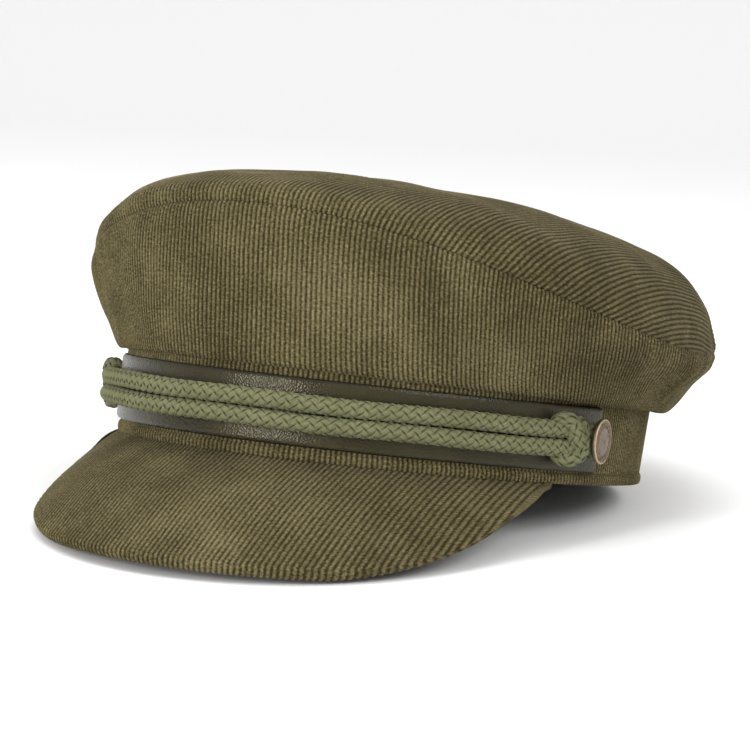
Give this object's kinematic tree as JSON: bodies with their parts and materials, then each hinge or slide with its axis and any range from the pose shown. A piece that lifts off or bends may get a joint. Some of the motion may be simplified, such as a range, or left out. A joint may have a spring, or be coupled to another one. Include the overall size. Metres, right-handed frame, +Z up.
{
  "type": "peaked cap",
  "caption": "Soft corduroy cap with a short sloping peak, a leather band strip, braided cords on studs, and an oval opening that sits on a head.",
  "frame": {"origin": "middle of the footprint of the cap as it rests on a table, on the edge of its peak and the back of its band", "axes": "+Z up, -Y to the front with the peak, +X to the wearer's left"},
  "size_m": [0.2136, 0.3062, 0.1174],
  "materials": {
    "corduroy": "olive needlecord, ribs about 1.75 mm apart, worn lighter on the ribs",
    "corduroy_under": "the same cloth under the peak",
    "leather": "smooth dark olive leather, glossy, fine grain",
    "braided_cord": "sage green cotton braid, plaited, matt",
    "antique_metal": "antique bronze with bright worn edges",
    "lining": "dark olive satin lining",
    "label": "blank woven label",
    "sweatband_cloth": "ribbed cotton sweatband",
    "cotton_tape": "woven cotton tape",
    "interfacing": "stiff woven interfacing",
    "peak_board": "moulded board"
  },
  "bodies": {
    "cap": {"crown_top_panel": "corduroy", "crown_side_front": "corduroy", "crown_side_back_left": "corduroy", "crown_side_back_right": "corduroy", "crown_seam_tape": "cotton_tape", "crown_front_stay": "interfacing", "lining_top": "lining", "lining_side": "lining", "lining_label": "label", "outer_band": "corduroy", "band_stiffener": "interfacing", "sweatband": "sweatband_cloth", "sweatband_tape": "cotton_tape", "leather_strip": "leather", "peak_top_cover": "corduroy", "peak_board": "peak_board", "peak_under_cover": "corduroy_under", "peak_binding": "cotton_tape", "eyelet_left": "antique_metal", "stud_washer_left": "antique_metal", "eyelet_right": "antique_metal", "stud_washer_right": "antique_metal"},
    "cords": {"cord_upper": "braided_cord", "cord_lower": "braided_cord", "cord_knot_left": "braided_cord", "cord_knot_right": "braided_cord", "cord_loop_left": "braided_cord", "cord_loop_right": "braided_cord"},
    "stud_left_body": {"stud_left": "antique_metal"},
    "stud_right_body": {"stud_right": "antique_metal"}
  },
  "joints": [
    {"name": "cord_swing", "type": "hinge", "parent": "cap", "child": "cords", "pos_m": [0, -0.0183, 0.03366], "axis": [1, 0, 0], "range_deg": [-3, 3]},
    {"name": "stud_left_spin", "type": "hinge", "parent": "cap", "child": "stud_left_body", "pos_m": [0.086, -0.0183, 0.03366], "axis": [1, 0, 0], "continuous": true},
    {"name": "stud_right_spin", "type": "hinge", "parent": "cap", "child": "stud_right_body", "pos_m": [-0.086, -0.0183, 0.03366], "axis": [1, 0, 0], "continuous": true}
  ]
}
